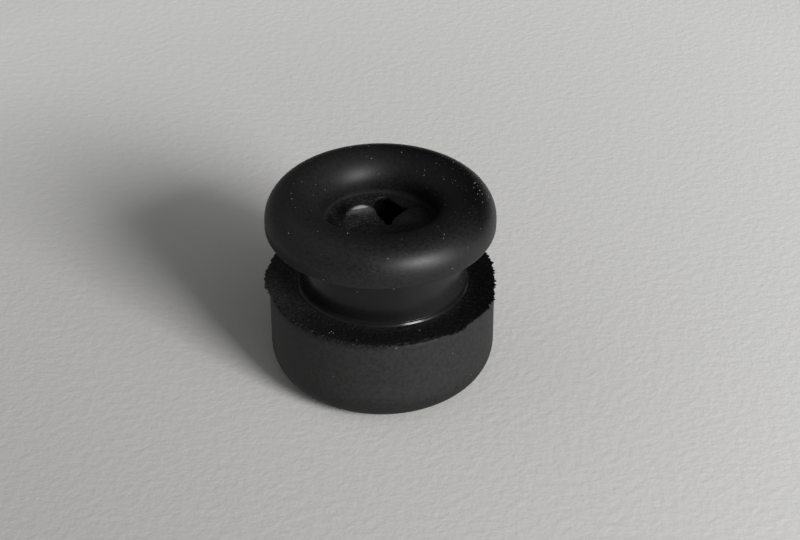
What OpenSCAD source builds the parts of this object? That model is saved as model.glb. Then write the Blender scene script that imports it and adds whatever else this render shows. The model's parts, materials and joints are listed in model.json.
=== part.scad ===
// Rubber grommet: one moulded piece, all sizes in millimetres.
// A round rolled head and a heavy rounded base with a groove between them for a panel edge.
// A thin membrane with a tear and a curled tongue closes the bore just under the head.
// It stands on the flat ring under the base, at z = 0, and +Z runs up through the head.

/* [Head] */
// outside diameter of the rolled head
head_diameter = 12.0; // [11:0.1:14]
// diameter of the head's round section, seen in a cut through one side
roll_diameter = 3.0; // [2.6:0.05:3.1]
// height of the straight band round the outside of the head
head_band = 0.3; // [0.1:0.05:0.4]
// radius of the head's lower edge
lower_edge = 0.35; // [0.2:0.05:0.6]
// top of the head above the floor
total_height = 10.75; // [10.4:0.05:12]

/* [Neck] */
// diameter of the groove's floor
neck_diameter = 8.8; // [8:0.1:8.8]
// diameter of the small ledge round the neck's foot
foot_diameter = 9.0; // [9:0.05:9.8]
// how far the ledge stands above the base's upper face
foot_rise = 0.25; // [0.15:0.05:0.5]
// radius of the ledge's rounded edge
foot_edge = 0.08; // [0.02:0.01:0.1]
// radius of the curve between the neck and the head's flat underside
under_head_radius = 0.25; // [0.1:0.05:0.4]

/* [Base] */
// outside diameter of the base's wall
base_diameter = 11.85; // [11:0.05:14]
// upper face of the base above the floor
base_height = 5.3; // [5.1:0.05:5.6]
// radius of the large rounding under the base
base_rounding = 1.8; // [1:0.1:2.4]
// small bevel round the base's upper edge
edge_bevel = 0.15; // [0.05:0.01:0.3]

/* [Bore] */
// diameter of the throat above the membrane and of the bore below it
bore_diameter = 6.0; // [5:0.1:6.2]
// bevel round the bore's lower mouth
mouth_bevel = 0.25; // [0.1:0.05:0.5]

/* [Membrane] */
// upper face of the membrane above the floor
membrane_level = 8.85; // [8.7:0.05:9]
// thickness of the membrane
membrane_thickness = 0.6; // [0.5:0.05:0.8]
// radius of the small curve where the membrane meets the throat
membrane_corner = 0.15; // [0.05:0.01:0.2]
// width of the tear, side to side
tear_width = 1.65; // [1:0.05:2]
// length of the tear, front to back
tear_length = 2.6; // [2:0.05:3]
// how far the tear's middle sits right of the bore's axis
tear_right = 0.4; // [0:0.05:0.8]
// how far the tear's middle sits behind the bore's axis
tear_back = 1.2; // [0.8:0.05:1.4]
// how far the tear's ends are turned off the line from front to back
tear_skew = 0.15; // [0:0.01:0.2]
// radius of the tear's rounded back corner
tear_corner = 0.12; // [0.05:0.01:0.2]

/* [Tongue] */
// width of the tongue's rounded end
tongue_width = 1.3; // [0.8:0.05:1.6]
// width of the tongue at its hinge
tongue_root = 1.9; // [1.6:0.05:2]
// how far the middle of the tongue's hinge sits left of the bore's axis
tongue_left = 0.75; // [0.7:0.05:0.9]
// how far the tongue is turned to the left, in degrees
tongue_turn = 16; // [0:1:20]
// radius that the tongue's upper face curls up on
curl_radius = 1.1; // [0.9:0.05:1.4]
// how far round that curl the tongue goes, in degrees
curl_angle = 62; // [30:1:70]
// thickness of the tongue
tongue_thickness = 0.25; // [0.2:0.05:0.3]

/* [Flash] */
// thickness of the ragged skin left at the mould's parting line
flash_thickness = 0.1; // [0.06:0.01:0.15]
// usual reach of the skin beyond the wall
flash_reach = 0.1; // [0.05:0.01:0.15]
// extra reach at the back left, where most of the skin was left
flash_lean = 0.16; // [0:0.01:0.2]
// size of the broad lobes in the skin's edge
flash_lobe = 0.07; // [0:0.01:0.1]
// size of the fine tears in the skin's edge
flash_tear = 0.045; // [0:0.005:0.06]

/* [Hidden] */
$fn = 96;
eps = 0.01;
head_radius = head_diameter / 2;
roll_radius = roll_diameter / 2;
roll_centre = head_radius - roll_radius;
roll_level = total_height - roll_radius;
neck_radius = neck_diameter / 2;
foot_radius = foot_diameter / 2;
foot_top = base_height + foot_rise;
base_radius = base_diameter / 2;
bore_radius = bore_diameter / 2;
membrane_under = membrane_level - membrane_thickness;
band_level = roll_level - head_band;
head_under = band_level - lower_edge;
fillet_centre = neck_radius + under_head_radius;
fillet_level = head_under - under_head_radius;
tongue_hinge = 0.1;
tongue_end = 0.35;
flash_steps = 168;
lean_angle = 120;
lobe_angle = 158;

// Half of the base's cut face, from the axis out; the bore is cut later.
module base_section() {
    flat_radius = base_radius - base_rounding;
    square([flat_radius, base_height]);
    translate([0, base_rounding])
        square([base_radius, base_height - edge_bevel - base_rounding]);
    translate([flat_radius, base_rounding])
        circle(r = base_rounding);
    polygon([
        [0, base_height - edge_bevel - eps],
        [base_radius, base_height - edge_bevel - eps],
        [base_radius, base_height - edge_bevel],
        [base_radius - edge_bevel, base_height],
        [0, base_height]
    ]);
}

// The smooth ledge has a small rounded edge above the base's rough upper face.
module foot_section() {
    square([foot_radius - foot_edge, foot_top]);
    square([foot_radius, foot_top - foot_edge]);
    translate([foot_radius - foot_edge, foot_top - foot_edge])
        circle(r = foot_edge);
}

module neck_section() {
    square([neck_radius, roll_level]);
    difference() {
        translate([0, fillet_level])
            square([fillet_centre, under_head_radius]);
        translate([fillet_centre, fillet_level])
            circle(r = under_head_radius);
    }
}

// The roll is round above a straight band and has a small rounded edge below it.
module head_section() {
    intersection() {
        translate([roll_centre, roll_level])
            circle(r = roll_radius);
        translate([0, roll_level])
            square([head_radius, roll_radius]);
    }
    translate([0, band_level])
        square([head_radius, head_band]);
    translate([head_radius - lower_edge, band_level])
        circle(r = lower_edge);
    translate([0, head_under])
        square([head_radius - lower_edge, lower_edge]);
}

// Everything inside the bore's wall is taken away but the membrane and its corner.
module bore_section() {
    square([bore_radius, membrane_under]);
    polygon([
        [0, -eps],
        [bore_radius + mouth_bevel + eps, -eps],
        [bore_radius, mouth_bevel],
        [0, mouth_bevel]
    ]);
    translate([0, membrane_level])
        square([bore_radius - membrane_corner, roll_level - membrane_level + eps]);
    translate([0, membrane_level + membrane_corner])
        square([bore_radius, roll_level - membrane_level - membrane_corner + eps]);
    translate([bore_radius - membrane_corner, membrane_level + membrane_corner])
        circle(r = membrane_corner);
}

module body() {
    rotate_extrude()
        difference() {
            union() {
                base_section();
                foot_section();
                neck_section();
                head_section();
            }
            bore_section();
        }
}

// Where the skin's edge lies in a direction: a lean, broad lobes and fine tears.
function flash_radius(a) =
    base_radius + flash_reach
    + flash_lean * cos(a - lean_angle)
    + flash_lobe * cos(2 * (a - lobe_angle))
    + flash_lobe * 0.8 * cos(6 * a + 180)
    + flash_tear * sin(23 * a + 40)
    + flash_tear * 0.7 * sin(41 * a + 110)
    + flash_tear * 0.6 * sin(67 * a);

module flash() {
    translate([0, 0, base_height - flash_thickness])
        linear_extrude(flash_thickness)
            difference() {
                polygon([
                    for (i = [0 : flash_steps - 1])
                        let (a = 360 * i / flash_steps)
                            flash_radius(a) * [cos(a), sin(a)]
                ]);
                circle(r = base_radius - 2 * edge_bevel);
            }
}

// Four-cornered tear with a rounded back corner.
module tear() {
    half_width = tear_width / 2;
    half_length = tear_length / 2;
    translate([tear_right, tear_back, membrane_under - eps])
        linear_extrude(membrane_thickness + 2 * eps) {
            polygon([
                [-tear_skew, half_length],
                [half_width, 0],
                [tear_skew, -half_length],
                [-half_width, 2 * tear_skew]
            ]);
            translate([-tear_skew, half_length - tear_corner])
                circle(r = tear_corner);
        }
}

// A strip of the membrane that curls up and back from a hinge near the front.
module tongue() {
    translate([-tongue_left, tongue_hinge, 0])
        rotate([0, 0, tongue_turn])
            intersection() {
                tongue_strip();
                tongue_outline();
            }
}

module tongue_strip() {
    translate([-tongue_root / 2, 0, membrane_level + curl_radius])
        rotate([0, 90, 0])
            rotate_extrude(angle = curl_angle)
                translate([curl_radius, 0])
                    square([tongue_thickness, tongue_root]);
}

module tongue_outline() {
    translate([0, 0, membrane_under])
        linear_extrude(roll_radius + membrane_thickness) {
            translate([0, tongue_end])
                circle(d = tongue_width);
            polygon([
                [-tongue_width / 2, tongue_end],
                [tongue_width / 2, tongue_end],
                [tongue_root / 2, 0],
                [-tongue_root / 2, 0]
            ]);
        }
}

module grommet() {
    color([0.07, 0.07, 0.07]) {
        difference() {
            body();
            tear();
        }
        tongue();
        flash();
    }
}

grommet();
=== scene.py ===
# %% [markdown]
# # A rubber grommet, dressed around its CAD frame
#
# The real thing is one moulding of black rubber. A round rolled head sits on a short
# shiny neck, a small ledge runs round the neck's foot, and below it is a heavy base with
# a rounded lower edge. A thin torn membrane closes the bore just under the head, and a
# ragged skin runs along the base's upper edge, probably where the mould's halves met.
#
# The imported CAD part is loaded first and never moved. Every size below is measured in
# that part's own millimetres, so the visual piece fits the solid it stands for.

# %% Load the frame
import json
import math

import bpy
from mathutils import Matrix, Vector

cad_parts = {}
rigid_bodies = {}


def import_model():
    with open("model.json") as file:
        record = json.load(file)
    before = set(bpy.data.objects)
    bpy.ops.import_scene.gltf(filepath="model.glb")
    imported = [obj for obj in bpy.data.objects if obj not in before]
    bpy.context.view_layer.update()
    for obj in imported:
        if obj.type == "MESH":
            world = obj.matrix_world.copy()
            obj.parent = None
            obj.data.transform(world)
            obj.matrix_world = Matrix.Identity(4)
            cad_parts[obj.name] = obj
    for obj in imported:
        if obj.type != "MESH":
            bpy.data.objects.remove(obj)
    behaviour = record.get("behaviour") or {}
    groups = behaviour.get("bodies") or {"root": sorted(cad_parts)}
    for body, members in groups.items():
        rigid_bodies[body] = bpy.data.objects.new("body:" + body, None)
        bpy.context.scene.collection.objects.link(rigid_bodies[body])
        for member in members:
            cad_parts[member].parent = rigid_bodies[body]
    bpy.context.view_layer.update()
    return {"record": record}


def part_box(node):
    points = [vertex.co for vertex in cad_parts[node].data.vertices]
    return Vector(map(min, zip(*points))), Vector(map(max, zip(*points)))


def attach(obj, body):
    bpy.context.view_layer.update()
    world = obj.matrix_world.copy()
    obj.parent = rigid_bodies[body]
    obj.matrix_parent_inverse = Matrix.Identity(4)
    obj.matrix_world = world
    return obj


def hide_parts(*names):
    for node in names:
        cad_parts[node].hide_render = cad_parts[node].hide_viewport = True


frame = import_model()
TOTAL_HEIGHT = Vector(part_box("grommet")[1]).z
MM = TOTAL_HEIGHT / 10.75
bore = next(mount for mount in frame["record"]["mounts"] if mount["name"] == "bore")
BORE_RADIUS = bore["dims"]["r_mm"] / 1000
print("one millimetre is", round(MM, 6), "m, the bore's radius is", BORE_RADIUS)

# %% [markdown]
# ## The section
#
# A moulding like this is designed as a section that turns about an axis. The section is
# drawn once, as a closed line of points: out over the membrane, up the throat, over the
# rolled head, down the neck, across the base's torn upper face, down the wall, and back
# up the bore. It could be modelled from primitives and booleans, as the CAD is, but a
# drawn section puts many points where the surface is torn and few where it is plain.
#
# The head is round on top, straight for a short band at its widest, and has a small
# rounded edge below. That band matters: with a plain ring the head looks too thin from
# above, and a dark line shows where its lower edge meets the neck.
#
# Each point also carries four values that the lathe reads later: how far it follows the
# ragged skin, how rough the rubber is torn there, how far it follows the tear's outline
# in the membrane instead of a circle, and how far it sits aside, because the neck and the
# base seem to be up to a tenth of a millimetre off the head's axis.

# %% Sizes of the section, in metres
HEAD_RADIUS = 6.0 * MM
ROLL_RADIUS = 1.5 * MM
ROLL_CENTRE = HEAD_RADIUS - ROLL_RADIUS
ROLL_LEVEL = TOTAL_HEIGHT - ROLL_RADIUS
HEAD_BAND = 0.3 * MM
LOWER_EDGE = 0.35 * MM
NECK_RADIUS = 4.4 * MM
NECK_ASIDE = 0.1 * MM
UNDER_HEAD_RADIUS = 0.25 * MM
FOOT_RADIUS = 4.53 * MM
FOOT_TOP = 5.535 * MM
FOOT_BEVEL = (4.476 * MM, 5.52 * MM)
FOOT_SHOULDER = 5.445 * MM
BASE_RADIUS = 5.925 * MM
BASE_ASIDE = 0.055 * MM
BASE_TOP = 5.3 * MM
BASE_ROUNDING = 1.8 * MM
BASE_RISE = 0.1 * MM
SKIN_THICKNESS = 0.08 * MM
MOUTH_BEVEL = 0.25 * MM
MEMBRANE_TOP = 8.85 * MM
MEMBRANE_UNDER = 8.25 * MM
MEMBRANE_CORNER = 0.06 * MM
MEMBRANE_RADIUS = BORE_RADIUS - MEMBRANE_CORNER
TEAR_START = 1.0 * MM
TEAR_THICKNESS = 0.14 * MM
TEAR_ROUND = 0.05 * MM
TEAR_SOFT = 0.02
print("head radius", round(HEAD_RADIUS, 5), "m, base radius", round(BASE_RADIUS, 5), "m")

# %% A pen for the section
section = []


def run(points, skin=0.0, torn=0.0, tear=0.0, aside=0.0):
    """Adds points (radius, height) to the section; a value may be one number or a list."""
    for i, (radius, height) in enumerate(points):
        values = [v[i] if isinstance(v, list) else v for v in (skin, torn, tear, aside)]
        section.append((radius, height, *values))


def line(start, end, count):
    """Points from start to just before end."""
    (r0, z0), (r1, z1) = start, end
    return [(r0 + (r1 - r0) * i / count, z0 + (z1 - z0) * i / count) for i in range(count)]


def arc(centre, radius, start, end, count):
    """Points round a centre from one angle to just before another, in degrees."""
    turns = [math.radians(start + (end - start) * i / count) for i in range(count)]
    return [(centre[0] + radius * math.cos(a), centre[1] + radius * math.sin(a)) for a in turns]


def ramp(start, end, count):
    """Numbers from start to just before end."""
    return [start + (end - start) * i / count for i in range(count)]


# %% Draw the membrane, the throat and the head
membrane_rows = 26
run([(TEAR_START, MEMBRANE_TOP - 0.3 * TEAR_ROUND)], tear=1.0)
run(line((TEAR_START, MEMBRANE_TOP), (MEMBRANE_RADIUS, MEMBRANE_TOP), membrane_rows),
    torn=0.4, tear=ramp(1.0 - TEAR_SOFT, 0.0, membrane_rows))
corner_centre = (MEMBRANE_RADIUS, MEMBRANE_TOP + MEMBRANE_CORNER)
run(arc(corner_centre, MEMBRANE_CORNER, -90, 0, 5), torn=0.4)
run(line((BORE_RADIUS, MEMBRANE_TOP + MEMBRANE_CORNER), (BORE_RADIUS, ROLL_LEVEL), 3),
    torn=[0.4, 0.2, 0.0])

edge_radius = HEAD_RADIUS - LOWER_EDGE
band_level = ROLL_LEVEL - HEAD_BAND
head_under = band_level - LOWER_EDGE
fillet_centre = (NECK_RADIUS + UNDER_HEAD_RADIUS, head_under - UNDER_HEAD_RADIUS)
run(arc((ROLL_CENTRE, ROLL_LEVEL), ROLL_RADIUS, 180, 0, 34))
run(line((HEAD_RADIUS, ROLL_LEVEL), (HEAD_RADIUS, band_level), 3))
run(arc((edge_radius, band_level), LOWER_EDGE, 0, -90, 12))
run(line((edge_radius, head_under), (fillet_centre[0], head_under), 2))
run(arc(fillet_centre, UNDER_HEAD_RADIUS, 90, 180, 4), aside=ramp(0.0, NECK_ASIDE, 4))
print("down to the head's underside the section has", len(section), "points")

# %% Draw the neck and the ledge at its foot
FOOT_HOLLOW = [(0.0, 0.025), (0.007, 0.008), (0.02, 0.002)]
shoulder = (FOOT_RADIUS - 0.006 * MM, FOOT_SHOULDER)
run(line((NECK_RADIUS, fillet_centre[1]), (NECK_RADIUS, FOOT_TOP + 0.03 * MM), 8),
    aside=NECK_ASIDE)
run([(NECK_RADIUS + out * MM, FOOT_TOP + up * MM) for out, up in FOOT_HOLLOW],
    aside=NECK_ASIDE)
run([(FOOT_BEVEL[0] - 0.02 * MM, FOOT_TOP),
     (FOOT_BEVEL[0] - 0.008 * MM, FOOT_TOP - 0.006 * MM)], aside=NECK_ASIDE)
run(line(FOOT_BEVEL, shoulder, 5) + [shoulder], aside=NECK_ASIDE)
run([(FOOT_RADIUS, FOOT_SHOULDER - 0.015 * MM), (FOOT_RADIUS, FOOT_SHOULDER - 0.03 * MM)],
    aside=NECK_ASIDE)
print("down to the ledge's foot the section has", len(section), "points")

# %% Draw the base and the bore
torn_rows = 17
risen_rows = 6
rim = BASE_RADIUS - 0.05 * MM
torn_face = line((FOOT_RADIUS, BASE_TOP), (rim, BASE_TOP), torn_rows)
risen = [BASE_RISE * max(0.0, 1 - i / risen_rows) ** 2 for i in range(torn_rows)]
run([(radius, height + rise) for (radius, height), rise in zip(torn_face, risen)],
    skin=[max(0.0, s) for s in ramp(-1.0, 1.0, torn_rows)],
    torn=[0.4, 0.8] + [1.0] * (torn_rows - 2), aside=ramp(NECK_ASIDE, BASE_ASIDE, torn_rows))
run([(rim, BASE_TOP), (BASE_RADIUS, BASE_TOP - 0.4 * SKIN_THICKNESS),
     (rim, BASE_TOP - SKIN_THICKNESS)], skin=1.0, torn=[1.0, 1.0, 0.8], aside=BASE_ASIDE)

wall_top = BASE_TOP - 1.5 * SKIN_THICKNESS
flat_radius = BASE_RADIUS - BASE_ROUNDING
run([(BASE_RADIUS - 0.03 * MM, wall_top), (BASE_RADIUS, wall_top - 0.15 * MM)],
    torn=[0.25, 0.1], aside=BASE_ASIDE)
run(line((BASE_RADIUS, wall_top - 0.3 * MM), (BASE_RADIUS, BASE_ROUNDING), 5), aside=BASE_ASIDE)
run(arc((flat_radius, BASE_ROUNDING), BASE_ROUNDING, 0, -90, 14), aside=BASE_ASIDE)
run(line((flat_radius, 0), (BORE_RADIUS + MOUTH_BEVEL, 0), 3), aside=ramp(BASE_ASIDE, 0.0, 3))
run(line((BORE_RADIUS + MOUTH_BEVEL, 0), (BORE_RADIUS, MOUTH_BEVEL), 2))
run(line((BORE_RADIUS, MOUTH_BEVEL), (BORE_RADIUS, MEMBRANE_UNDER), 4))

under_rows = 7
tear_under = MEMBRANE_TOP - TEAR_THICKNESS
run(line((BORE_RADIUS, MEMBRANE_UNDER), (TEAR_START, tear_under), under_rows),
    tear=ramp(0.0, 1.0 - TEAR_SOFT, under_rows))
run([(TEAR_START, tear_under + 0.3 * TEAR_ROUND), (TEAR_START, MEMBRANE_TOP - TEAR_ROUND)],
    tear=1.0)
print("the whole section has", len(section), "points")

# %% [markdown]
# ## A pen for node trees
#
# Node trees could be drawn by hand in the editor, but a script can be read and run again.
# Two helpers do most of the work: new_tree makes a tree with named inputs and outputs,
# and put adds a node and fills its sockets. Each of the others stands for a node or a few
# that belong together, so that a line below reads like a step of arithmetic.

# %% Helpers for node trees
def new_tree(name, kind, inputs, outputs):
    """A node tree with its named sockets, given as (name, type) pairs."""
    tree = bpy.data.node_groups.new(name, kind)
    for side, sockets in (("INPUT", inputs), ("OUTPUT", outputs)):
        for label, socket_type in sockets:
            tree.interface.new_socket(label, in_out=side, socket_type="NodeSocket" + socket_type)
    return tree, tree.nodes.new("NodeGroupInput").outputs, tree.nodes.new("NodeGroupOutput").inputs


def put(tree, kind, sockets=None, **settings):
    """Adds a node; a value that is itself a socket is linked, any other is written in."""
    node = tree.nodes.new(kind)
    for name, value in settings.items():
        setattr(node, name, value)
    for key, value in (sockets or {}).items():
        if isinstance(value, bpy.types.NodeSocket):
            tree.links.new(value, node.inputs[key])
        else:
            node.inputs[key].default_value = value
    return node


def sum_up(tree, operation, first, second=0.0, third=0.0):
    """One Math node; returns its output."""
    return put(tree, "ShaderNodeMath", {0: first, 1: second, 2: third}, operation=operation).outputs[0]


def product(tree, *values):
    """The values multiplied together; for masks, where they overlap."""
    result = values[0]
    for value in values[1:]:
        result = sum_up(tree, "MULTIPLY", result, value)
    return result


def clamped(tree, value):
    """The value, kept between 0 and 1."""
    return put(tree, "ShaderNodeClamp", {0: value}).outputs[0]


def passage(tree, value, start, end, low=0.0, high=1.0, kind="LINEAR"):
    """Goes from low to high while the value goes from start to end."""
    return put(tree, "ShaderNodeMapRange",
               {"Value": value, "From Min": start, "From Max": end, "To Min": low, "To Max": high},
               interpolation_type=kind).outputs[0]


def vector_step(tree, operation, first, second=(0.0, 0.0, 0.0)):
    """One Vector Math node; returns its outputs, Vector and Value."""
    return put(tree, "ShaderNodeVectorMath", {0: first, 1: second}, operation=operation).outputs


def scaled(tree, vector, factor):
    """A vector times a number."""
    return put(tree, "ShaderNodeVectorMath", {0: vector, "Scale": factor}, operation="SCALE").outputs[0]


def parts_of(tree, vector):
    """The X, Y and Z of a vector."""
    return put(tree, "ShaderNodeSeparateXYZ", {0: vector}).outputs


def flattened(tree, xyz):
    """A place with its height left out."""
    return put(tree, "ShaderNodeCombineXYZ", {"X": xyz["X"], "Y": xyz["Y"]}).outputs[0]


def off_axis(tree, xyz):
    """How far a place is from the bore's axis."""
    return vector_step(tree, "LENGTH", flattened(tree, xyz))["Value"]


def noise_of(tree, vector, size, detail, roughness):
    """Noise from 0 to 1, with features of the given size in metres."""
    return put(tree, "ShaderNodeTexNoise",
               {"Vector": vector, "Scale": sum_up(tree, "DIVIDE", 1.0, size),
                "Detail": detail, "Roughness": roughness}).outputs["Fac"]


# %% [markdown]
# ## The ragged skin and the tear
#
# Two outlines are not circles. The skin at the base's upper edge reaches out by a
# different amount in each direction, and the tear in the membrane is a four-cornered
# hole. Both are given as a reach in each direction round the axis, in turns: 0 and 1 are
# the back, 0.25 the left, 0.5 the front and 0.75 the right. A Float Curve draws the
# large lobes through a few points, and noise adds the fine tears of the skin.

# %% Outlines by direction
SKIN_SPAN = 0.6 * MM
SKIN_LOW = -0.2 * MM
SKIN_REACH = [
    (0.00, 0.17), (0.17, 0.43), (0.22, 0.29), (0.24, 0.32), (0.28, 0.08), (0.33, -0.06),
    (0.39, -0.04), (0.49, 0.06), (0.54, -0.08), (0.60, 0.19), (0.617, 0.26), (0.635, 0.10),
    (0.68, 0.20), (0.745, 0.03), (0.81, 0.22), (1.00, 0.17),
]
TEAR_CENTRE = Vector((0.4, 1.2, 0.0)) * MM
TEAR_SPAN = 1.6 * MM
TEAR_REACH = [
    (0.00, 1.33), (0.03, 1.38), (0.08, 1.32), (0.14, 0.99), (0.31, 0.82), (0.46, 1.00),
    (0.487, 1.34), (0.511, 1.34), (0.535, 1.02), (0.60, 0.78), (0.68, 0.86), (0.74, 1.00),
    (0.78, 0.93), (0.86, 0.82), (0.95, 0.98), (1.00, 1.33),
]


def outline_curve(tree, turns, reaches, lowest, span):
    """A reach that follows a curve through points (turn, millimetres) round the axis."""
    points = [(turn, (reach * MM - lowest) / span) for turn, reach in reaches]
    node = put(tree, "ShaderNodeFloatCurve", {"Value": turns})
    curve = node.mapping.curves[0]
    curve.points[0].location = points[0]
    curve.points[1].location = points[-1]
    for point in points[1:-1]:
        curve.points.new(*point)
    node.mapping.update()
    return sum_up(tree, "MULTIPLY_ADD", node.outputs["Value"], span, lowest)


print("skin outline:", len(SKIN_REACH), "points, tear outline:", len(TEAR_REACH), "points")

# %% [markdown]
# ## Turning the section
#
# The tree below is a lathe. Curve to Mesh carries the section round a circle and closes
# it, so there is no seam and no pole: the tear makes the whole part one ring. Spin and a
# Displace modifier could do the same, but here the section keeps its four values as
# attributes, and two Set Position nodes read them. The first pulls the skin out, sets the
# neck and base aside and roughens the torn face. The second moves the innermost rows from
# a circle to the tear, and lifts a swelling to the right of the tear and a small fold to
# the left of the tongue, where the torn sheet no longer lies flat.

# %% Sweep the section
lathe, lathe_in, lathe_out = new_tree(
    "Turn and tear the section", "GeometryNodeTree",
    [("Section", "Geometry"), ("Steps Around", "Int"), ("Spine Radius", "Float"),
     ("Tear Depth", "Float"), ("Tear Size", "Float"), ("Torn Depth", "Float"),
     ("Torn Size", "Float"), ("Lobe Height", "Float"), ("Fold Height", "Float"),
     ("Tongue", "Object"), ("Head Rubber", "Material"), ("Neck Rubber", "Material"),
     ("Torn Rubber", "Material"), ("Wall Rubber", "Material")],
    [("Part", "Geometry")])
spine = put(lathe, "GeometryNodeCurvePrimitiveCircle",
            {"Resolution": lathe_in["Steps Around"], "Radius": lathe_in["Spine Radius"]})
profile = put(lathe, "GeometryNodeMeshToCurve", {"Mesh": lathe_in["Section"]})
swept = put(lathe, "GeometryNodeCurveToMesh",
            {"Curve": spine.outputs[0], "Profile Curve": profile.outputs[0]})


def kept(name):
    """One of the four values that the section's points carry."""
    return put(lathe, "GeometryNodeInputNamedAttribute", {"Name": name},
               data_type="FLOAT").outputs["Attribute"]


place = put(lathe, "GeometryNodeInputPosition").outputs[0]
xyz = parts_of(lathe, place)
outward = vector_step(lathe, "NORMALIZE", flattened(lathe, xyz))["Vector"]
angle = sum_up(lathe, "ARCTAN2", sum_up(lathe, "MULTIPLY", xyz["X"], -1.0), xyz["Y"])
turn = sum_up(lathe, "FRACT", sum_up(lathe, "DIVIDE", angle, 2 * math.pi))
print("the sweep has", len(lathe.nodes), "nodes")

# %% The ragged skin and the torn face
def tears(vector, size, roughness):
    """Fine tears: noise from about -1 to 1."""
    return sum_up(lathe, "MULTIPLY_ADD", noise_of(lathe, vector, size, 3.0, roughness), 4.0, -2.0)


lobes = outline_curve(lathe, turn, SKIN_REACH, SKIN_LOW, SKIN_SPAN)
fine = tears(scaled(lathe, outward, BASE_RADIUS), lathe_in["Tear Size"], 0.65)
ragged = sum_up(lathe, "MULTIPLY_ADD", fine, lathe_in["Tear Depth"], lobes)
outward_step = scaled(lathe, outward, product(lathe, ragged, kept("skin")))

in_membrane = sum_up(lathe, "GREATER_THAN", kept("tear"), 0.0)
out_of_membrane = sum_up(lathe, "SUBTRACT", 1.0, in_membrane)
roughened = product(lathe, lathe_in["Torn Depth"], kept("torn"))
rough = product(lathe, tears(place, lathe_in["Torn Size"], 0.7), roughened, out_of_membrane)
aside_step = put(lathe, "ShaderNodeCombineXYZ", {"X": kept("aside"), "Z": rough}).outputs[0]
whole_step = vector_step(lathe, "ADD", outward_step, aside_step)["Vector"]
skinned = put(lathe, "GeometryNodeSetPosition", {"Geometry": swept.outputs[0], "Offset": whole_step})
print("with the skin it has", len(lathe.nodes), "nodes")

# %% The tear and the membrane round it
tear_radius = outline_curve(lathe, turn, TEAR_REACH, 0.0, TEAR_SPAN)
at_tear = vector_step(lathe, "ADD", scaled(lathe, outward, tear_radius), TEAR_CENTRE)["Vector"]
at_throat = scaled(lathe, outward, MEMBRANE_RADIUS)
spread = put(lathe, "ShaderNodeMix", {"Factor": kept("tear"), 4: at_throat, 5: at_tear},
             data_type="VECTOR").outputs[1]


def swelling(centre, half, height):
    """A rounded rise of the membrane; its centre and half sizes are in millimetres."""
    off = vector_step(lathe, "SUBTRACT", spread, Vector(centre) * MM)["Vector"]
    off = vector_step(lathe, "DIVIDE", off, Vector(half) * MM)["Vector"]
    far = vector_step(lathe, "LENGTH", off)["Value"]
    return passage(lathe, far, 1.0, 0.25, 0.0, height, "SMOOTHSTEP")


lobe = swelling((1.75, 0.75, 0.0), (1.25, 1.05, 1.0), lathe_in["Lobe Height"])
fold = swelling((-1.55, 0.45, 0.0), (0.75, 0.95, 1.0), lathe_in["Fold Height"])
risen_by = sum_up(lathe, "MULTIPLY_ADD", tears(spread, lathe_in["Torn Size"], 0.7), roughened,
                  sum_up(lathe, "ADD", lobe, fold))
spread_xyz = parts_of(lathe, spread)
lifted = put(lathe, "ShaderNodeCombineXYZ",
             {"X": spread_xyz["X"], "Y": spread_xyz["Y"],
              "Z": sum_up(lathe, "ADD", xyz["Z"], risen_by)}).outputs[0]
torn_open = put(lathe, "GeometryNodeSetPosition",
                {"Geometry": skinned.outputs[0], "Selection": in_membrane, "Position": lifted})
print("with the tear it has", len(lathe.nodes), "nodes")

# %% Join the tongue and set the rubbers
tongue_in = put(lathe, "GeometryNodeObjectInfo", {"Object": lathe_in["Tongue"]})
joined = put(lathe, "GeometryNodeMeshBoolean", operation="UNION", solver="EXACT")
for shell in (torn_open.outputs[0], tongue_in.outputs["Geometry"]):
    lathe.links.new(shell, joined.inputs["Mesh 2"])
smooth = put(lathe, "GeometryNodeSetShadeSmooth", {"Geometry": joined.outputs[0]})
real = put(lathe, "GeometryNodeRealizeInstances", {"Geometry": smooth.outputs[0]})
painted = put(lathe, "GeometryNodeSetMaterial",
              {"Geometry": real.outputs[0], "Material": lathe_in["Head Rubber"]})

# Below each height and inside each radius, in millimetres, the next rubber takes over.
PAST_THE_WALL = 9.0
ZONES = [("Neck Rubber", 8.3, 4.75), ("Torn Rubber", 5.42, PAST_THE_WALL),
         ("Wall Rubber", 5.19, PAST_THE_WALL)]
radius = off_axis(lathe, xyz)
for rubber_name, top, outer in ZONES:
    zone = product(lathe, sum_up(lathe, "LESS_THAN", xyz["Z"], top * MM),
                   sum_up(lathe, "LESS_THAN", radius, outer * MM))
    painted = put(lathe, "GeometryNodeSetMaterial",
                  {"Geometry": painted.outputs[0], "Selection": zone,
                   "Material": lathe_in[rubber_name]})
lathe.links.new(painted.outputs[0], lathe_out["Part"])
print("the whole lathe has", len(lathe.nodes), "nodes")

# %% [markdown]
# ## The tongue
#
# Beside the tear a strip of the membrane has curled up and back. It is a slab with a
# rounded end, made flat as rings that shrink from its outline to its middle, and then
# bent. A curve modifier could bend it too, but only at one rate. Here its slope grows
# with a power of the distance from the root, so it leaves the membrane without a crease
# and curls most at its end, as torn rubber sheet does.

# %% Sizes and curl of the tongue
TONGUE_SLOPE = math.radians(78)
TONGUE_POWER = 2.3
TONGUE_LENGTH = 1.82 * MM
TONGUE_HALF = 0.11 * MM
TONGUE_TURN = math.radians(18)
TONGUE_ROOT = Vector((-0.66, -0.62)) * MM
END_LENGTH = 0.5 * MM
END_HALF = 0.74 * MM
END_ROUNDNESS = 2.6
ROOT_HALF = 1.2 * MM
TAPER = 0.8
SINK = 0.02 * MM
CURL_STEPS = 200

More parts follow.
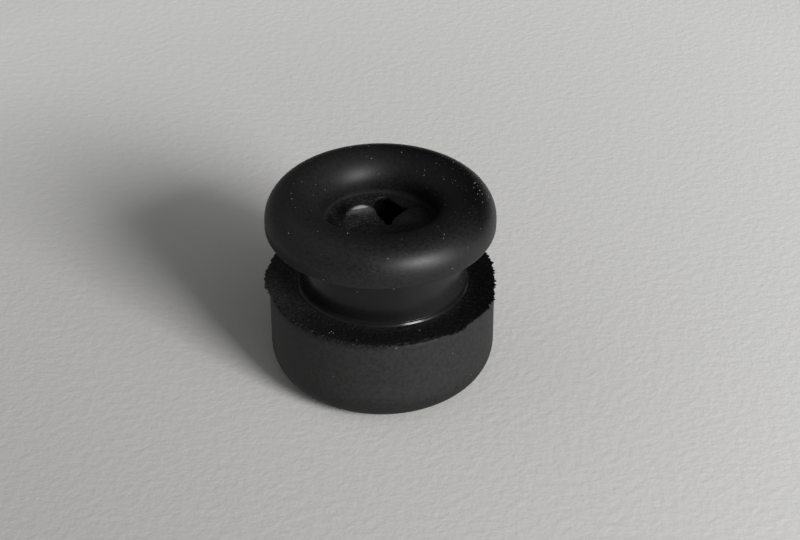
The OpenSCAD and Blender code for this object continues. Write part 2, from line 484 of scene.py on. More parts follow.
curl_path = [(0.0, 0.0)]
for i in range(CURL_STEPS):
    slope = TONGUE_SLOPE * ((i + 0.5) / CURL_STEPS) ** TONGUE_POWER
    step_length = TONGUE_LENGTH / CURL_STEPS
    curl_path.append((curl_path[-1][0] + step_length * math.cos(slope),
                      curl_path[-1][1] + step_length * math.sin(slope)))
print("the tongue's end rises", round(curl_path[-1][1] / MM, 2), "mm above the membrane")


# %% Outline and bend of the tongue
def tongue_half(along):
    """Half width of the flat strip at a distance along it."""
    half = ROOT_HALF + (END_HALF - ROOT_HALF) * (along / TONGUE_LENGTH) ** TAPER
    into_end = max(0.0, (along - TONGUE_LENGTH + END_LENGTH) / END_LENGTH)
    return half * math.sqrt(max(0.0, 1 - into_end ** END_ROUNDNESS))


def tongue_outline(count):
    """Points round the flat strip, from the right of the root to the left of it."""
    right = []
    for i in range(count + 1):
        along = TONGUE_LENGTH * math.sin(math.pi / 2 * i / count)
        right.append((tongue_half(along), along))
    return right + [(-half, along) for half, along in right[-2::-1]]


def bend(across, along, above):
    """Where a point of the flat strip goes when the strip curls up and turns aside."""
    part = min(1.0, max(0.0, along / TONGUE_LENGTH))
    before = min(int(part * CURL_STEPS), CURL_STEPS - 1)
    rest = part * CURL_STEPS - before
    (y0, z0), (y1, z1) = curl_path[before], curl_path[before + 1]
    slope = TONGUE_SLOPE * part ** TONGUE_POWER
    y = y0 + (y1 - y0) * rest - above * math.sin(slope)
    sunk = SINK * (1 - part) ** 2
    z = MEMBRANE_TOP + z0 + (z1 - z0) * rest + (above - TONGUE_HALF) * math.cos(slope) - sunk
    return (TONGUE_ROOT.x + across * math.cos(TONGUE_TURN) - y * math.sin(TONGUE_TURN),
            TONGUE_ROOT.y + across * math.sin(TONGUE_TURN) + y * math.cos(TONGUE_TURN), z)


# %% Build the tongue
RING_SHARES = [0.15, 0.3, 0.45, 0.6, 0.72, 0.82, 0.89, 0.94, 0.97, 0.988, 0.997, 1.0]
EDGE_ROUNDNESS = 14
outline = tongue_outline(26)
heart = (0.0, 0.45 * TONGUE_LENGTH)
rings = [(out, (1 - out ** EDGE_ROUNDNESS) ** 0.5) for out in RING_SHARES]
rings += [(out, -up) for out, up in rings[-2::-1]]
verts = [bend(*heart, TONGUE_HALF)]
for out, up in rings:
    for sideways, along in outline:
        verts.append(bend(sideways * out, heart[1] + (along - heart[1]) * out, TONGUE_HALF * up))
verts.append(bend(*heart, -TONGUE_HALF))

count = len(outline)
last_ring = 1 + (len(rings) - 1) * count
faces = []
for i in range(count):
    j = (i + 1) % count
    faces.append((0, 1 + i, 1 + j))
    for a in range(1, last_ring, count):
        b = a + count
        faces.append((a + i, b + i, b + j, a + j))
    faces.append((last_ring + i, len(verts) - 1, last_ring + j))
tongue_mesh = bpy.data.meshes.new("curled tongue")
tongue_mesh.from_pydata(verts, [], faces)
tongue_mesh.validate()


def link_up(name, data):
    """An object in the scene that holds a mesh, a light or a camera."""
    obj = bpy.data.objects.new(name, data)
    bpy.context.scene.collection.objects.link(obj)
    return obj


def volume(mesh):
    """Signed volume, positive where the faces point outwards."""
    mesh.calc_loop_triangles()
    points = mesh.vertices
    return sum(points[a].co.dot(points[b].co.cross(points[c].co))
               for a, b, c in (t.vertices for t in mesh.loop_triangles)) / 6


tongue = link_up("curled tongue", tongue_mesh)
print("tongue volume in cubic mm:", round(volume(tongue_mesh) / MM ** 3, 3))

# %% [markdown]
# ## Black rubber
#
# Moulded rubber is very dark, and its faces differ mostly in how they shine. The head has
# a satin face with a fine grain, the neck is smooth and shiny, the wall is dull, and the
# base's upper face is rough and drinks the light. So the piece wears four materials, one
# for each kind of face, and they change where the form does.
#
# The shades, the roughnesses and the zones inside a face were set by trial under this
# scene's own lamps. Their causes on the real part aren't known, and some may stand for
# light from its surroundings, so under another light they may need setting again.
#
# The effects they have in common are shader node groups, each built once: a mask for a
# ring-shaped zone, speckles, a moulded grain, a film of dust, and a slow change from one
# side of the part to the other. They read Object coordinates, which are the part's own
# places, so no painted map is needed.

# %% Zones, speckles and slow changes
def own_place(tree):
    """A point's place on its own object, in metres."""
    return put(tree, "ShaderNodeTexCoord").outputs["Object"]


band, band_in, band_out = new_tree(
    "Ring band", "ShaderNodeTree",
    [("Low", "Float"), ("High", "Float"), ("Inner", "Float"), ("Outer", "Float"),
     ("Soft", "Float")],
    [("Mask", "Float")])
band_xyz = parts_of(band, own_place(band))
band_radius = off_axis(band, band_xyz)
sides = []
for value, limit, sign in ((band_xyz["Z"], "Low", 1.0), (band_xyz["Z"], "High", -1.0),
                           (band_radius, "Inner", 1.0), (band_radius, "Outer", -1.0)):
    past = product(band, sum_up(band, "SUBTRACT", value, band_in[limit]), sign)
    past = sum_up(band, "DIVIDE", past, band_in["Soft"])
    sides.append(clamped(band, sum_up(band, "ADD", past, 0.5)))
band.links.new(product(band, *sides), band_out["Mask"])

speckle, speckle_in, speckle_out = new_tree(
    "Speckle", "ShaderNodeTree",
    [("Size", "Float"), ("Amount", "Float"), ("Contrast", "Float")], [("Value", "Float")])
speckle_noise = noise_of(speckle, own_place(speckle), speckle_in["Size"], 3.0, 0.6)
threshold = sum_up(speckle, "SUBTRACT", 1.0, speckle_in["Amount"])
over = sum_up(speckle, "SUBTRACT", speckle_noise, threshold)
speckle.links.new(clamped(speckle, product(speckle, over, speckle_in["Contrast"])),
                  speckle_out["Value"])

across, across_in, across_out = new_tree(
    "Across the part", "ShaderNodeTree",
    [("Along X", "Float"), ("Along Y", "Float"), ("Start", "Float"), ("End", "Float")],
    [("Share", "Float")])
across_xyz = parts_of(across, own_place(across))
distance = sum_up(across, "MULTIPLY_ADD", across_xyz["Y"], across_in["Along Y"],
                  product(across, across_xyz["X"], across_in["Along X"]))
across.links.new(passage(across, distance, across_in["Start"], across_in["End"]),
                 across_out["Share"])
print("groups for masks:", [group.name for group in (band, speckle, across)])

# %% Moulded grain and a film of dust
GRAIN_SIZE = 0.07 * MM
FILM_GREY = (0.24, 0.235, 0.225, 1)


def put_group(tree, group, sockets):
    """A node that runs a shared group; returns its outputs."""
    return put(tree, "ShaderNodeGroup", sockets, node_tree=group).outputs


def speckles(tree, size, amount, contrast):
    """Blotches of a size in millimetres; a larger amount covers more of the surface."""
    return put_group(tree, speckle, {"Size": size * MM, "Amount": amount,
                                     "Contrast": contrast})["Value"]


def blend_value(tree, factor, first, second):
    """From the first value to the second as the factor goes from 0 to 1."""
    return put(tree, "ShaderNodeMix", {"Factor": factor, 2: first, 3: second},
               data_type="FLOAT").outputs[0]


def blend_colour(tree, factor, first, second):
    """From the first colour to the second as the factor goes from 0 to 1."""
    return put(tree, "ShaderNodeMix", {"Factor": factor, 6: first, 7: second},
               data_type="RGBA").outputs[2]


grain, grain_in, grain_out = new_tree(
    "Moulded grain", "ShaderNodeTree", [("Height", "Float")], [("Normal", "Vector")])
grain_noise = noise_of(grain, own_place(grain), GRAIN_SIZE, 3.0, 0.6)
grain_bump = put(grain, "ShaderNodeBump",
                 {"Height": product(grain, grain_noise, grain_in["Height"]), "Distance": 1.0})
grain.links.new(grain_bump.outputs[0], grain_out["Normal"])

film, film_in, film_out = new_tree(
    "Dust film", "ShaderNodeTree", [("Colour", "Color"), ("Strength", "Float")],
    [("Colour", "Color")])
film_share = product(film, speckles(film, 0.5, 0.62, 2.6), speckles(film, 0.07, 0.42, 7.0),
                     film_in["Strength"])
film.links.new(blend_colour(film, film_share, film_in["Colour"], FILM_GREY), film_out["Colour"])
print("groups for surfaces:", [group.name for group in (grain, film)])


# %% Helpers for the materials
def new_material(name):
    """A material and its node tree."""
    material = bpy.data.materials.new(name)
    material.use_nodes = True
    return material, material.node_tree


def ring(tree, bottom, top, inner, outer, soft):
    """The mask of one ring-shaped zone, its limits in millimetres."""
    return put_group(tree, band, {"Low": bottom * MM, "High": top * MM, "Inner": inner * MM,
                                  "Outer": outer * MM, "Soft": soft * MM})["Mask"]


def across_part(tree, along_x, along_y, start, end):
    """0 to 1 across the part in a direction, between two distances in millimetres."""
    return put_group(tree, across, {"Along X": along_x, "Along Y": along_y,
                                    "Start": start * MM, "End": end * MM})["Share"]


def dust_over(tree, colour, strength):
    """A colour with patches of fine grey dust on it."""
    return put_group(tree, film, {"Colour": colour, "Strength": strength})["Colour"]


def grain_of(tree, height):
    """The normal of a fine moulded grain of the given height, in metres."""
    return put_group(tree, grain, {"Height": height})["Normal"]


def finish(material, **sockets):
    """Fills the Principled BSDF; an underscore in a name stands for a space."""
    tree = material.node_tree
    shader = tree.nodes["Principled BSDF"]
    for name, value in sockets.items():
        socket = shader.inputs[name.replace("_", " ")]
        if isinstance(value, bpy.types.NodeSocket):
            tree.links.new(value, socket)
        else:
            socket.default_value = value
    print(material.name, "has", len(tree.nodes), "nodes")


# %% [markdown]
# ## The head and the mouth
#
# The head has a satin face with a mottled shine. One roughness all over would give it one
# sharp highlight, so the roughness changes by zone: duller on the left flank and under
# it, and smoother on the tongue's tip. Its colour is paler at the top left, which is
# painted light from the room's left with some dust, and nearly pure black on the far
# right, which is painted shade. A paler grey along its lower front edge is painted light
# from the bright paper below. The mouth has a smaller, sharper mottle. It is palest on the
# left of the membrane, which is painted light where the lamp reaches in, and its front
# edge is painted shade, where the rim keeps the lamp out.

# %% Satin rubber
SATIN = ((0.0038, 0.0038, 0.004, 1), (0.0104, 0.0102, 0.01, 1))
# The paler top-left pair below is painted light from the room's left, with some dust.
TOP_LEFT_LIT_AND_DUSTY = ((0.009, 0.009, 0.0092, 1), (0.0165, 0.0163, 0.016, 1))
# The near-black far-right pair below is painted shade.
FAR_RIGHT_PAINTED_SHADE = ((0.0008, 0.0008, 0.0008, 1), (0.004, 0.0039, 0.0038, 1))
# The mouth's paler tones below are dust, rising to the left as painted light where the lamp reaches in.
MOUTH_DUST_AND_LIGHT = ((0.017, 0.0167, 0.0164, 1), (0.036, 0.0355, 0.035, 1))
MOUTH_DARK = (0.007, 0.007, 0.007, 1)
# The front edge of the mouth gets painted shade, where the rim keeps the lamp out.
MOUTH_SHADE = (0.0015, 0.0015, 0.0015, 1)
# The paler grey below, on the head's lower front edge, is painted light from the bright paper.
LOWER_EDGE_PAINTED_LIGHT = (0.012, 0.0118, 0.0116, 1)

head_rubber, tree = new_material("satin rubber")
mottle = speckles(tree, 0.16, 0.7, 3.5)
mouth = ring(tree, 8.0, 9.8, 0.0, 2.94, 0.08)
mouth_corner = ring(tree, 8.8, 9.05, 2.75, 3.1, 0.06)
tip = ring(tree, 9.26, 9.8, 0.0, 2.0, 0.08)
inner_slope = ring(tree, 9.2, 11.0, 3.0, 4.4, 0.5)
front_edge = product(tree, ring(tree, 8.5, 8.8, 5.3, 6.3, 0.12),
                     across_part(tree, 0.0, -1.0, 2.5, 4.0))
low_left = product(tree, ring(tree, 8.4, 9.3, 5.0, 9.0, 0.4),
                   across_part(tree, -1.0, 0.0, 1.0, 3.5))
top_left = product(tree, ring(tree, 10.1, 11.5, 0.0, 9.0, 0.8),
                   across_part(tree, -1.0, 0.0, -0.2, 4.0))
left_flank = product(tree, ring(tree, 8.0, 11.5, 5.0, 9.0, 0.8),
                     across_part(tree, -1.0, 0.0, 1.0, 4.0))
far_right_shade = across_part(tree, 1.0, 0.65, 2.2, 4.2)
mouth_front_shade = product(tree, ring(tree, 8.0, 9.3, 2.35, 3.1, 0.5),
                      across_part(tree, -0.4, -1.0, -0.2, 1.4))

colour = blend_colour(tree, mottle, *SATIN)
# Painted light with some dust at the top left, painted shade on the far right.
for zone, shades in ((top_left, TOP_LEFT_LIT_AND_DUSTY), (far_right_shade, FAR_RIGHT_PAINTED_SHADE)):
    colour = blend_colour(tree, zone, colour, blend_colour(tree, mottle, *shades))
# Painted light on the left of the membrane, over the dusty mottle.
mouth_dust_and_light = blend_colour(tree, across_part(tree, -1.0, 0.0, -0.4, 0.6), *MOUTH_DUST_AND_LIGHT)
mouth_colour = blend_colour(tree, speckles(tree, 0.11, 0.5, 7.0), MOUTH_DARK, mouth_dust_and_light)
# Painted shade at the front edge of the mouth.
mouth_colour = blend_colour(tree, mouth_front_shade, mouth_colour, MOUTH_SHADE)
dust_strength = blend_value(tree, across_part(tree, 0.6, 0.8, 0.0, 6.0), 0.07, 0.12)
colour = dust_over(tree, blend_colour(tree, mouth, colour, mouth_colour), dust_strength)
# Painted light from the paper along the lower front edge.
colour = blend_colour(tree, front_edge, colour, LOWER_EDGE_PAINTED_LIGHT)

roughness = blend_value(tree, mottle, 0.385, 0.44)
for zone, zone_roughness in ((front_edge, 0.6), (left_flank, 0.58), (low_left, 0.85),
                             (inner_slope, 0.5), (mouth, 0.5), (mouth_corner, 0.8), (tip, 0.34)):
    roughness = blend_value(tree, zone, roughness, zone_roughness)
grain_height = blend_value(tree, mouth, 0.005 * MM, 0.02 * MM)
grain_height = blend_value(tree, tip, grain_height, 0.0)
finish(head_rubber, Base_Color=colour, Roughness=roughness, IOR=1.38,
       Normal=grain_of(tree, grain_height))

# %% [markdown]
# ## The shiny neck
#
# The neck is the shiniest face and has no grain. Its right side is paler: painted light
# from the lamp at the front right. The ledge at its foot shines most at the front right,
# gets duller towards the left, and its right end is a little darker: painted shade.

# %% Polished rubber
NECK_DARK = (0.0065, 0.0065, 0.0068, 1)
# The paler neck tone below is painted light from the lamp at the front right.
NECK_PAINTED_LIGHT = (0.015, 0.0148, 0.0146, 1)
LEDGE_LEFT = (0.010, 0.0099, 0.0098, 1)
# The ledge's darker right end below is painted shade.
LEDGE_END_PAINTED_SHADE = (0.0085, 0.0084, 0.0083, 1)

neck_rubber, tree = new_material("polished rubber")
ledge = ring(tree, 5.3, 5.7, 4.3, 4.75, 0.05)
to_left = across_part(tree, -1.0, 0.0, -1.3, 1.4)
right_end = across_part(tree, 1.0, 0.0, 2.0, 3.4)
# Painted light on the neck's right side.
colour = blend_colour(tree, across_part(tree, 1.0, 0.0, 0.8, 3.0), NECK_DARK, NECK_PAINTED_LIGHT)
colour = blend_colour(tree, product(tree, ledge, to_left), colour, LEDGE_LEFT)
# Painted shade at the ledge's right end.
colour = blend_colour(tree, product(tree, ledge, right_end), colour, LEDGE_END_PAINTED_SHADE)
ledge_roughness = blend_value(tree, speckles(tree, 0.12, 0.5, 8.0), 0.19,
                              blend_value(tree, to_left, 0.17, 0.32))
roughness = blend_value(tree, ledge, 0.22, ledge_roughness)
finish(neck_rubber, Base_Color=colour, Roughness=roughness, IOR=1.34)

# %% [markdown]
# ## The torn upper face of the base
#
# Torn rubber is a bed of small matt grains. The lathe has already moved the surface, and a
# deep bump adds the grains that are too small for the mesh. The grains are palest at the
# back left, which is painted light in the shadow of the head, and the skin's outer edge is
# paler on the left.

# %% Torn rubber
TORN_DARK = ((0.0008, 0.0008, 0.0008, 1), (0.022, 0.0218, 0.0212, 1))
# The paler back-left pair below is painted light in the shadow of the head.
TORN_PAINTED_LIGHT = ((0.0075, 0.0074, 0.0072, 1), (0.078, 0.077, 0.075, 1))
EDGE_PALE = (0.03, 0.0296, 0.029, 1)

torn_rubber, tree = new_material("torn rubber")
# Painted light grows towards the back left.
back_left_lit = sum_up(tree, "POWER", across_part(tree, -0.8, 0.6, -3.2, 4.6), 3.0)
colour = blend_colour(tree, speckles(tree, 0.13, 0.52, 6.0),
                      blend_colour(tree, back_left_lit, *TORN_DARK),
                      blend_colour(tree, back_left_lit, *TORN_PAINTED_LIGHT))
pale_edge = product(tree, ring(tree, 5.0, 5.6, 5.82, 9.0, 0.3), speckles(tree, 0.12, 0.56, 5.0),
                    across_part(tree, -1.0, 0.0, -1.5, 1.0))
colour = dust_over(tree, blend_colour(tree, pale_edge, colour, EDGE_PALE), 0.08)
roughness = blend_value(tree, across_part(tree, 1.0, 0.3, 2.5, 5.0), 0.6, 0.4)
finish(torn_rubber, Base_Color=colour, Roughness=roughness, IOR=1.34,
       Normal=grain_of(tree, 0.045 * MM))

# %% [markdown]
# ## The dull wall
#
# The wall is the dullest face, evenly mottled. It is a little paler at the far left, a
# painted reflection of the pale paper at that grazing edge, and darker where the rounding
# turns under, which is painted shade. Dark shreds of the torn skin hang over its upper
# edge, mostly on the left. Its index of refraction is far below real rubber's, about 1.5,
# to keep its shine weak. The other three faces are somewhat below it too.

# %% Dull rubber
WALL = ((0.016, 0.016, 0.0164, 1), (0.0275, 0.027, 0.0266, 1))
# The paler far-left tone below is a painted reflection of the pale paper at the grazing edge.
WALL_LEFT_PAINTED_REFLECTION = (0.034, 0.0337, 0.0334, 1)
# The darker tone below, where the rounding turns under, is painted shade.
WALL_UNDER_PAINTED_SHADE = (0.0025, 0.0025, 0.0025, 1)
SHREDS = (0.004, 0.004, 0.004, 1)

wall_rubber, tree = new_material("dull rubber")
shreds = product(tree, ring(tree, 4.98, 5.6, 0.0, 9.0, 0.3), speckles(tree, 0.12, 0.6, 5.0),
                 across_part(tree, -1.0, 0.0, -1.8, 0.6))
colour = blend_colour(tree, speckles(tree, 0.2, 0.72, 3.0), *WALL)
# A painted reflection at the far left, painted shade under the rounding, then the dark shreds.
for zone, shade in ((across_part(tree, -1.0, 0.0, 3.0, 6.0), WALL_LEFT_PAINTED_REFLECTION),
                    (ring(tree, -1.0, 1.0, 3.5, 9.0, 2.0), WALL_UNDER_PAINTED_SHADE), (shreds, SHREDS)):
    colour = blend_colour(tree, zone, colour, shade)
finish(wall_rubber, Base_Color=dust_over(tree, colour, 0.11), Roughness=0.6, IOR=1.25,
       Normal=grain_of(tree, 0.006 * MM))

# %% [markdown]
# ## Running the lathe
#
# The section becomes a mesh of points and edges with its values stored on the points, and
# the tree runs on it as a modifier. Its result is copied to a plain mesh and the modifier
# is thrown away, because the export wants plain meshes.

# %% Turn the body
def as_section(name, rows):
    """A closed line of points; the lathe's radius counts from its spine, its height down."""
    mesh = bpy.data.meshes.new(name)
    mesh.from_pydata([(r - ROLL_CENTRE, -z, 0.0) for r, z, *_ in rows],
                     [(i, (i + 1) % len(rows)) for i in range(len(rows))], [])
    for column, value_name in enumerate(("skin", "torn", "tear", "aside"), start=2):
        layer = mesh.attributes.new(value_name, "FLOAT", "POINT")
        layer.data.foreach_set("value", [row[column] for row in rows])
    return link_up(name, mesh)


def run_tree(obj, tree, name, **values):
    """Runs a geometry tree on an object and returns the result as a plain object."""
    modifier = obj.modifiers.new(name, "NODES")
    modifier.node_group = tree
    for item in tree.interface.items_tree:
        key = item.name.replace(" ", "_")
        if item.in_out == "INPUT" and key in values:
            modifier[item.identifier] = values[key]
    bpy.context.view_layer.update()
    evaluated = obj.evaluated_get(bpy.context.evaluated_depsgraph_get())
    mesh = bpy.data.meshes.new_from_object(evaluated)
    mesh.name = name
    old = obj.data
    bpy.data.objects.remove(obj)
    bpy.data.meshes.remove(old)
    return link_up(name, mesh)


def triangles(obj):
    """How many triangles an object has."""
    obj.data.calc_loop_triangles()
    return len(obj.data.loop_triangles)


body = run_tree(
    as_section("section", section), lathe, "moulded_body", Steps_Around=576,
    Spine_Radius=ROLL_CENTRE, Tear_Depth=0.15 * MM, Tear_Size=0.19 * MM,
    Torn_Depth=0.038 * MM, Torn_Size=0.17 * MM, Lobe_Height=0.22 * MM, Fold_Height=0.24 * MM,
    Tongue=tongue, Head_Rubber=head_rubber, Neck_Rubber=neck_rubber,
    Torn_Rubber=torn_rubber, Wall_Rubber=wall_rubber)
bpy.data.objects.remove(tongue)
body.data.set_sharp_from_angle(angle=math.radians(50))
print("body:", triangles(body), "triangles, volume",
      round(volume(body.data) / MM ** 3, 2), "cubic mm")
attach(body, "root")
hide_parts("grommet")

# %% [markdown]
# ## Specks of dust
#
# Black rubber holds dust, and on this part it sits as pale specks, thickest on the right
# of the head. They could be painted on as a pattern, but real lumps catch the light and
# stand out at the edge. Each speck is a tiny lump with a few faces, pressed into the
# surface. A tree scatters them over the finished body: the density grows towards the
# thick patch, a seed keeps the scatter the same each time, and the largest ones have set
# places, which the tree moves onto the nearest surface.

# %% Where the dust settles
PATCH_CENTRE = Vector((4.9, 1.6, 10.5)) * MM
PATCH_REACH = 5.5 * MM
PATCH_HEART = 0.3 * MM
MOUTH_RADIUS = 3.05 * MM
MOUTH_SHARE = 0.3
BASE_SHARE = 0.2

scatter, scatter_in, scatter_out = new_tree(
    "Scatter dust", "GeometryNodeTree",
    [("Places", "Geometry"), ("Body", "Object"), ("Density", "Float"),
     ("Patch Density", "Float"), ("Smallest", "Float"), ("Largest", "Float"),
     ("Placed Size", "Float"), ("Seed", "Int"), ("Material", "Material")],
    [("Dust", "Geometry")])
ground = put(scatter, "GeometryNodeObjectInfo", {"Object": scatter_in["Body"]}).outputs["Geometry"]
dust_place = put(scatter, "GeometryNodeInputPosition").outputs[0]
dust_xyz = parts_of(scatter, dust_place)
facing_up = parts_of(scatter, put(scatter, "GeometryNodeInputNormal").outputs[0])["Z"]
open_air = sum_up(scatter, "GREATER_THAN", facing_up, -0.2)
on_head = passage(scatter, dust_xyz["Z"], 8.8 * MM, 9.6 * MM, BASE_SHARE, 1.0)
past_mouth = sum_up(scatter, "GREATER_THAN", off_axis(scatter, dust_xyz), MOUTH_RADIUS)
out_of_mouth = sum_up(scatter, "MAXIMUM", past_mouth, MOUTH_SHARE)
from_patch = vector_step(scatter, "DISTANCE", dust_place, PATCH_CENTRE)["Value"]
in_patch = passage(scatter, from_patch, PATCH_REACH, PATCH_HEART, kind="SMOOTHSTEP")
patch_density = product(scatter, in_patch, scatter_in["Patch Density"])
density = product(scatter, sum_up(scatter, "ADD", scatter_in["Density"], patch_density),
                  product(scatter, open_air, on_head, out_of_mouth))
strewn = put(scatter, "GeometryNodeDistributePointsOnFaces",
             {"Mesh": ground, "Density": density, "Seed": scatter_in["Seed"]})
nearest = put(scatter, "GeometryNodeProximity", {0: ground}, target_element="FACES")
snapped = put(scatter, "GeometryNodeSetPosition",
              {"Geometry": scatter_in["Places"], "Position": nearest.outputs["Position"]})
placed = put(scatter, "GeometryNodeMeshToPoints", {"Mesh": snapped.outputs[0]})
print("the scatter has", len(scatter.nodes), "nodes")

# %% Lumps of dust
NEARLY_A_TURN = 6.28
LUMP_STRETCH = (1.0, 0.7, 0.55)


def live_output(node):
    """The output that a node with several data types is using."""
    return next(socket for socket in node.outputs if socket.enabled)


def lumps_on(points, size):
    """Lumps of a given size, turned at random and not quite round."""
    turned = put(scatter, "FunctionNodeRandomValue", {"Seed": 3}, data_type="FLOAT_VECTOR")
    turned.inputs["Max"].default_value = (NEARLY_A_TURN, NEARLY_A_TURN, NEARLY_A_TURN)
    stretch = put(scatter, "ShaderNodeCombineXYZ",
                  {axis: product(scatter, size, share) for axis, share in zip("XYZ", LUMP_STRETCH)})
    return put(scatter, "GeometryNodeInstanceOnPoints",
               {"Points": points, "Instance": lump, "Rotation": live_output(turned),
                "Scale": stretch.outputs[0]}).outputs[0]


lump = put(scatter, "GeometryNodeMeshIcoSphere", {"Radius": 1.0, "Subdivisions": 1}).outputs[0]
chance = put(scatter, "FunctionNodeRandomValue", {"Min": 0.0, "Max": 1.0, "Seed": 5},
             data_type="FLOAT")
mostly_small = sum_up(scatter, "POWER", live_output(chance), 4.0)
size_range = sum_up(scatter, "SUBTRACT", scatter_in["Largest"], scatter_in["Smallest"])
speck_size = sum_up(scatter, "MULTIPLY_ADD", mostly_small, size_range, scatter_in["Smallest"])
both = put(scatter, "GeometryNodeJoinGeometry")
for lumps in (lumps_on(strewn.outputs["Points"], speck_size),
              lumps_on(placed.outputs[0], scatter_in["Placed Size"])):
    scatter.links.new(lumps, both.inputs[0])
real = put(scatter, "GeometryNodeRealizeInstances", {"Geometry": both.outputs[0]})
painted = put(scatter, "GeometryNodeSetMaterial",
              {"Geometry": real.outputs[0], "Material": scatter_in["Material"]})
scatter.links.new(painted.outputs[0], scatter_out["Dust"])
print("with its lumps it has", len(scatter.nodes), "nodes")

# %% Scatter the dust
DUST = ((0.10, 0.097, 0.094, 1), (0.34, 0.33, 0.32, 1))
PLACED_SPECKS = [
    (0.36, -5.56, 10.3), (0.42, -5.56, 10.3), (-4.5, -0.7, 10.7), (-4.6, -3.2, 10.3),
    (-3.1, -3.7, 10.7), (-1.6, -3.9, 10.7), (-2.9, 1.4, 10.0), (2.3, 2.7, 10.4),
    (2.3, 2.5, 10.2), (3.3, 1.6, 10.5), (2.9, 2.9, 10.7), (1.1, 4.0, 10.7),
    (-0.5, 3.7, 10.5), (-1.6, 4.5, 10.7), (4.9, 1.0, 10.6), (4.8, 0.4, 10.7),
    (5.1, 0.3, 10.6), (5.0, 0.7, 10.6), (4.85, 0.9, 10.7), (5.2, -0.7, 10.5),
    (4.4, -3.9, 9.9), (3.6, -4.8, 9.2), (-1.2, -4.3, 7.4), (0.7, -5.9, 8.7),
    (-2.5, -4.7, 5.3), (-2.6, -4.8, 5.3), (-2.4, -4.85, 5.3), (2.0, -4.6, 5.3),
    (-5.4, -2.2, 3.1), (0.8, -5.9, 5.1), (3.7, -4.7, 3.9), (-2.8, -5.3, 8.9),
]
TRIANGLES_IN_A_LUMP = 20

lint, tree = new_material("dust specks")
finish(lint, Base_Color=blend_colour(tree, speckles(tree, 0.1, 0.6, 3.0), *DUST), Roughness=0.8)
places = bpy.data.meshes.new("places")
places.from_pydata([Vector(speck) * MM for speck in PLACED_SPECKS], [], [])
dust = run_tree(link_up("places", places), scatter, "dust_specks", Body=body, Density=2.0e6,
                Patch_Density=11.0e6, Smallest=0.006 * MM, Largest=0.04 * MM,
                Placed_Size=0.045 * MM, Seed=4, Material=lint)
print("dust:", triangles(dust) // TRIANGLES_IN_A_LUMP, "specks")
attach(dust, "root")
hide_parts("grommet")

# %% [markdown]
# ## The paper floor
#
# The part stands on pale paper. Its fibres are a fine bump. Its tone rises slowly towards
# the back and the right: painted light, standing in for light that the lamps and glows
# don't give, from a smooth formula of two directions and no painted map. Its numbers were
# fitted by least squares and rounded.

# %% Paper floor
# The paper's two tones below are the ends of a painted-light gradient.
PAPER_PAINTED_LIGHT = ((0.588, 0.58, 0.567, 1), (1.0, 0.995, 0.99, 1))
PAPER_MIDDLE = 0.33
FIBRE_SIZE = 0.5 * MM
FIBRE_HEIGHT = 0.034 * MM
FLOOR_HALF = 600 * MM

paper, tree = new_material("pale paper")
paper_place = own_place(tree)
paper_xyz = parts_of(tree, paper_place)
x_mm, y_mm = (sum_up(tree, "DIVIDE", paper_xyz[axis], MM) for axis in "XY")
slope_x = sum_up(tree, "MULTIPLY_ADD", x_mm, 0.000216, 0.0094)
slope_x = sum_up(tree, "MULTIPLY_ADD", y_mm, -0.00024, slope_x)
slope_y = sum_up(tree, "MULTIPLY_ADD", y_mm, 0.000104, 0.0098)
# The share of painted light on the paper, growing towards the back and the right.
paler = sum_up(tree, "MULTIPLY_ADD", x_mm, slope_x, PAPER_MIDDLE)
paler = clamped(tree, sum_up(tree, "MULTIPLY_ADD", y_mm, slope_y, paler))
fibres = noise_of(tree, paper_place, FIBRE_SIZE, 3.0, 0.6)
fibre_bump = put(tree, "ShaderNodeBump",
                 {"Height": product(tree, fibres, FIBRE_HEIGHT), "Distance": 1.0})
finish(paper, Base_Color=blend_colour(tree, paler, *PAPER_PAINTED_LIGHT), Roughness=0.85,
       Specular_IOR_Level=0.2, Normal=fibre_bump.outputs[0])

corners = [(x * FLOOR_HALF, y * FLOOR_HALF, 0) for x, y in ((-1, -1), (1, -1), (1, 1), (-1, 1))]
floor_mesh = bpy.data.meshes.new("paper floor")
floor_mesh.from_pydata(corners, [], [(0, 1, 2, 3)])
floor_mesh.materials.append(paper)
floor = link_up("paper floor", floor_mesh)
print("the paper floor is", round(2 * FLOOR_HALF, 2), "m wide")

# %% [markdown]
# ## Light
#
# A large lamp at the front right does most of the work, with a weaker, lower glow beside
# it. Their size and distance set how long the highlights on the head and the ledge are.
# The room itself is a dark world with a few broad soft glows, which stand for light sent
# back by walls and cost less time than they would. All of it was set by trial.

# %% Room and lamps
ROOM_LEVEL = 0.004
ROOM_GLOWS = [(38, 25, 0.73), (-85, 25, 0.27), (-130, 25, 0.10), (0, 89, 0.08)]
GLOW_POWER = 4.0
LAMP_DISTANCE = 350 * MM


def direction(azimuth, elevation):
    """A unit vector away from the part; azimuth 0 is the front and 90 the right."""
    a, e = math.radians(azimuth), math.radians(elevation)
    return Vector((math.sin(a) * math.cos(e), -math.cos(a) * math.cos(e), math.sin(e)))


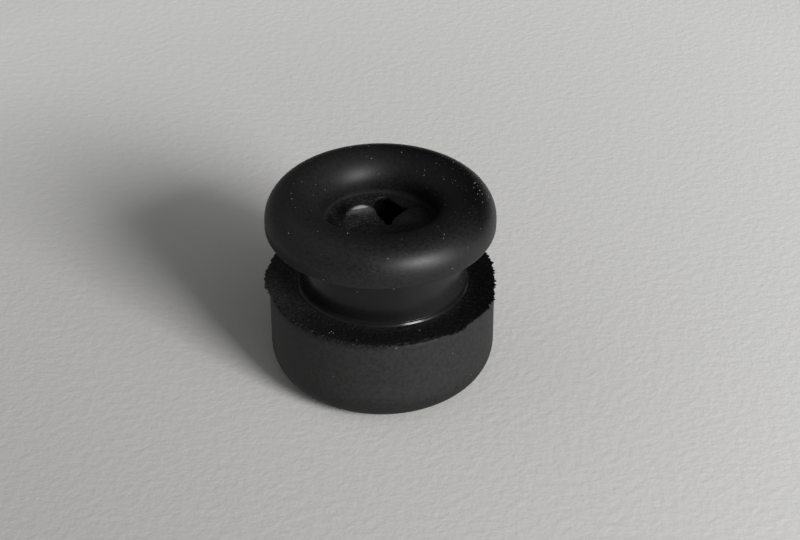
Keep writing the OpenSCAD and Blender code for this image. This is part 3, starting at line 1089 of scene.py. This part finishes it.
def area_lamp(name, azimuth, elevation, width, height, power):
    """A lamp that faces the middle of the part."""
    away = direction(azimuth, elevation)
    light = bpy.data.lights.new(name, "AREA")
    light.shape = "RECTANGLE"
    light.size = width
    light.size_y = height
    light.energy = power
    lamp = link_up(name, light)
    lamp.location = away * LAMP_DISTANCE + Vector((0, 0, 0.5 * TOTAL_HEIGHT))
    lamp.rotation_mode = "QUATERNION"
    lamp.rotation_quaternion = away.to_track_quat("Z", "Y")


world = bpy.data.worlds.new("dim room")
bpy.context.scene.world = world
world.use_nodes = True
room = world.node_tree
towards = put(room, "ShaderNodeTexCoord").outputs["Generated"]
level = ROOM_LEVEL
for azimuth, elevation, strength in ROOM_GLOWS:
    facing = vector_step(room, "DOT_PRODUCT", towards, direction(azimuth, elevation))["Value"]
    glow = sum_up(room, "POWER", sum_up(room, "MAXIMUM", facing, 0.0), GLOW_POWER)
    level = sum_up(room, "MULTIPLY_ADD", glow, strength, level)
room.links.new(level, room.nodes["Background"].inputs["Color"])
area_lamp("window", 39.5, 26.5, 111 * MM, 106 * MM, 1.085)
area_lamp("low glow", 53, 9, 111 * MM, 111 * MM, 0.312)
print("glows in the room:", len(ROOM_GLOWS))

# %% [markdown]
# ## Camera
#
# The camera looks down at the part from the front with a long lens, from about 11 cm
# away, so the circles show as nearly equal ellipses. Its axes are worked out from its
# elevation and a slight roll. Its numbers were fitted by least squares, then adjusted.

# %% Camera
CAMERA_PLACE = Vector((1.0025, -90.2847, 66.4584)) * MM
CAMERA_ELEVATION = math.radians(33.85)
CAMERA_ROLL = math.radians(0.15)
right = Vector((1, 0, 0))
up = Vector((0, math.sin(CAMERA_ELEVATION), math.cos(CAMERA_ELEVATION)))
behind = Vector((0, -math.cos(CAMERA_ELEVATION), math.sin(CAMERA_ELEVATION)))
axes = Matrix((right * math.cos(CAMERA_ROLL) - up * math.sin(CAMERA_ROLL),
               right * math.sin(CAMERA_ROLL) + up * math.cos(CAMERA_ROLL), behind)).transposed()
lens = bpy.data.cameras.new("camera")
lens.lens = 93.04
lens.sensor_width = 36.0
lens.clip_start = 1 * MM
lens.clip_end = 5000 * MM
camera = link_up("camera", lens)
camera.matrix_world = Matrix.Translation(CAMERA_PLACE) @ axes.to_4x4()
bpy.context.scene.camera = camera
bpy.context.scene.view_settings.view_transform = "Standard"
print("the camera is", round(CAMERA_PLACE.length / MM), "mm from the middle of the base")
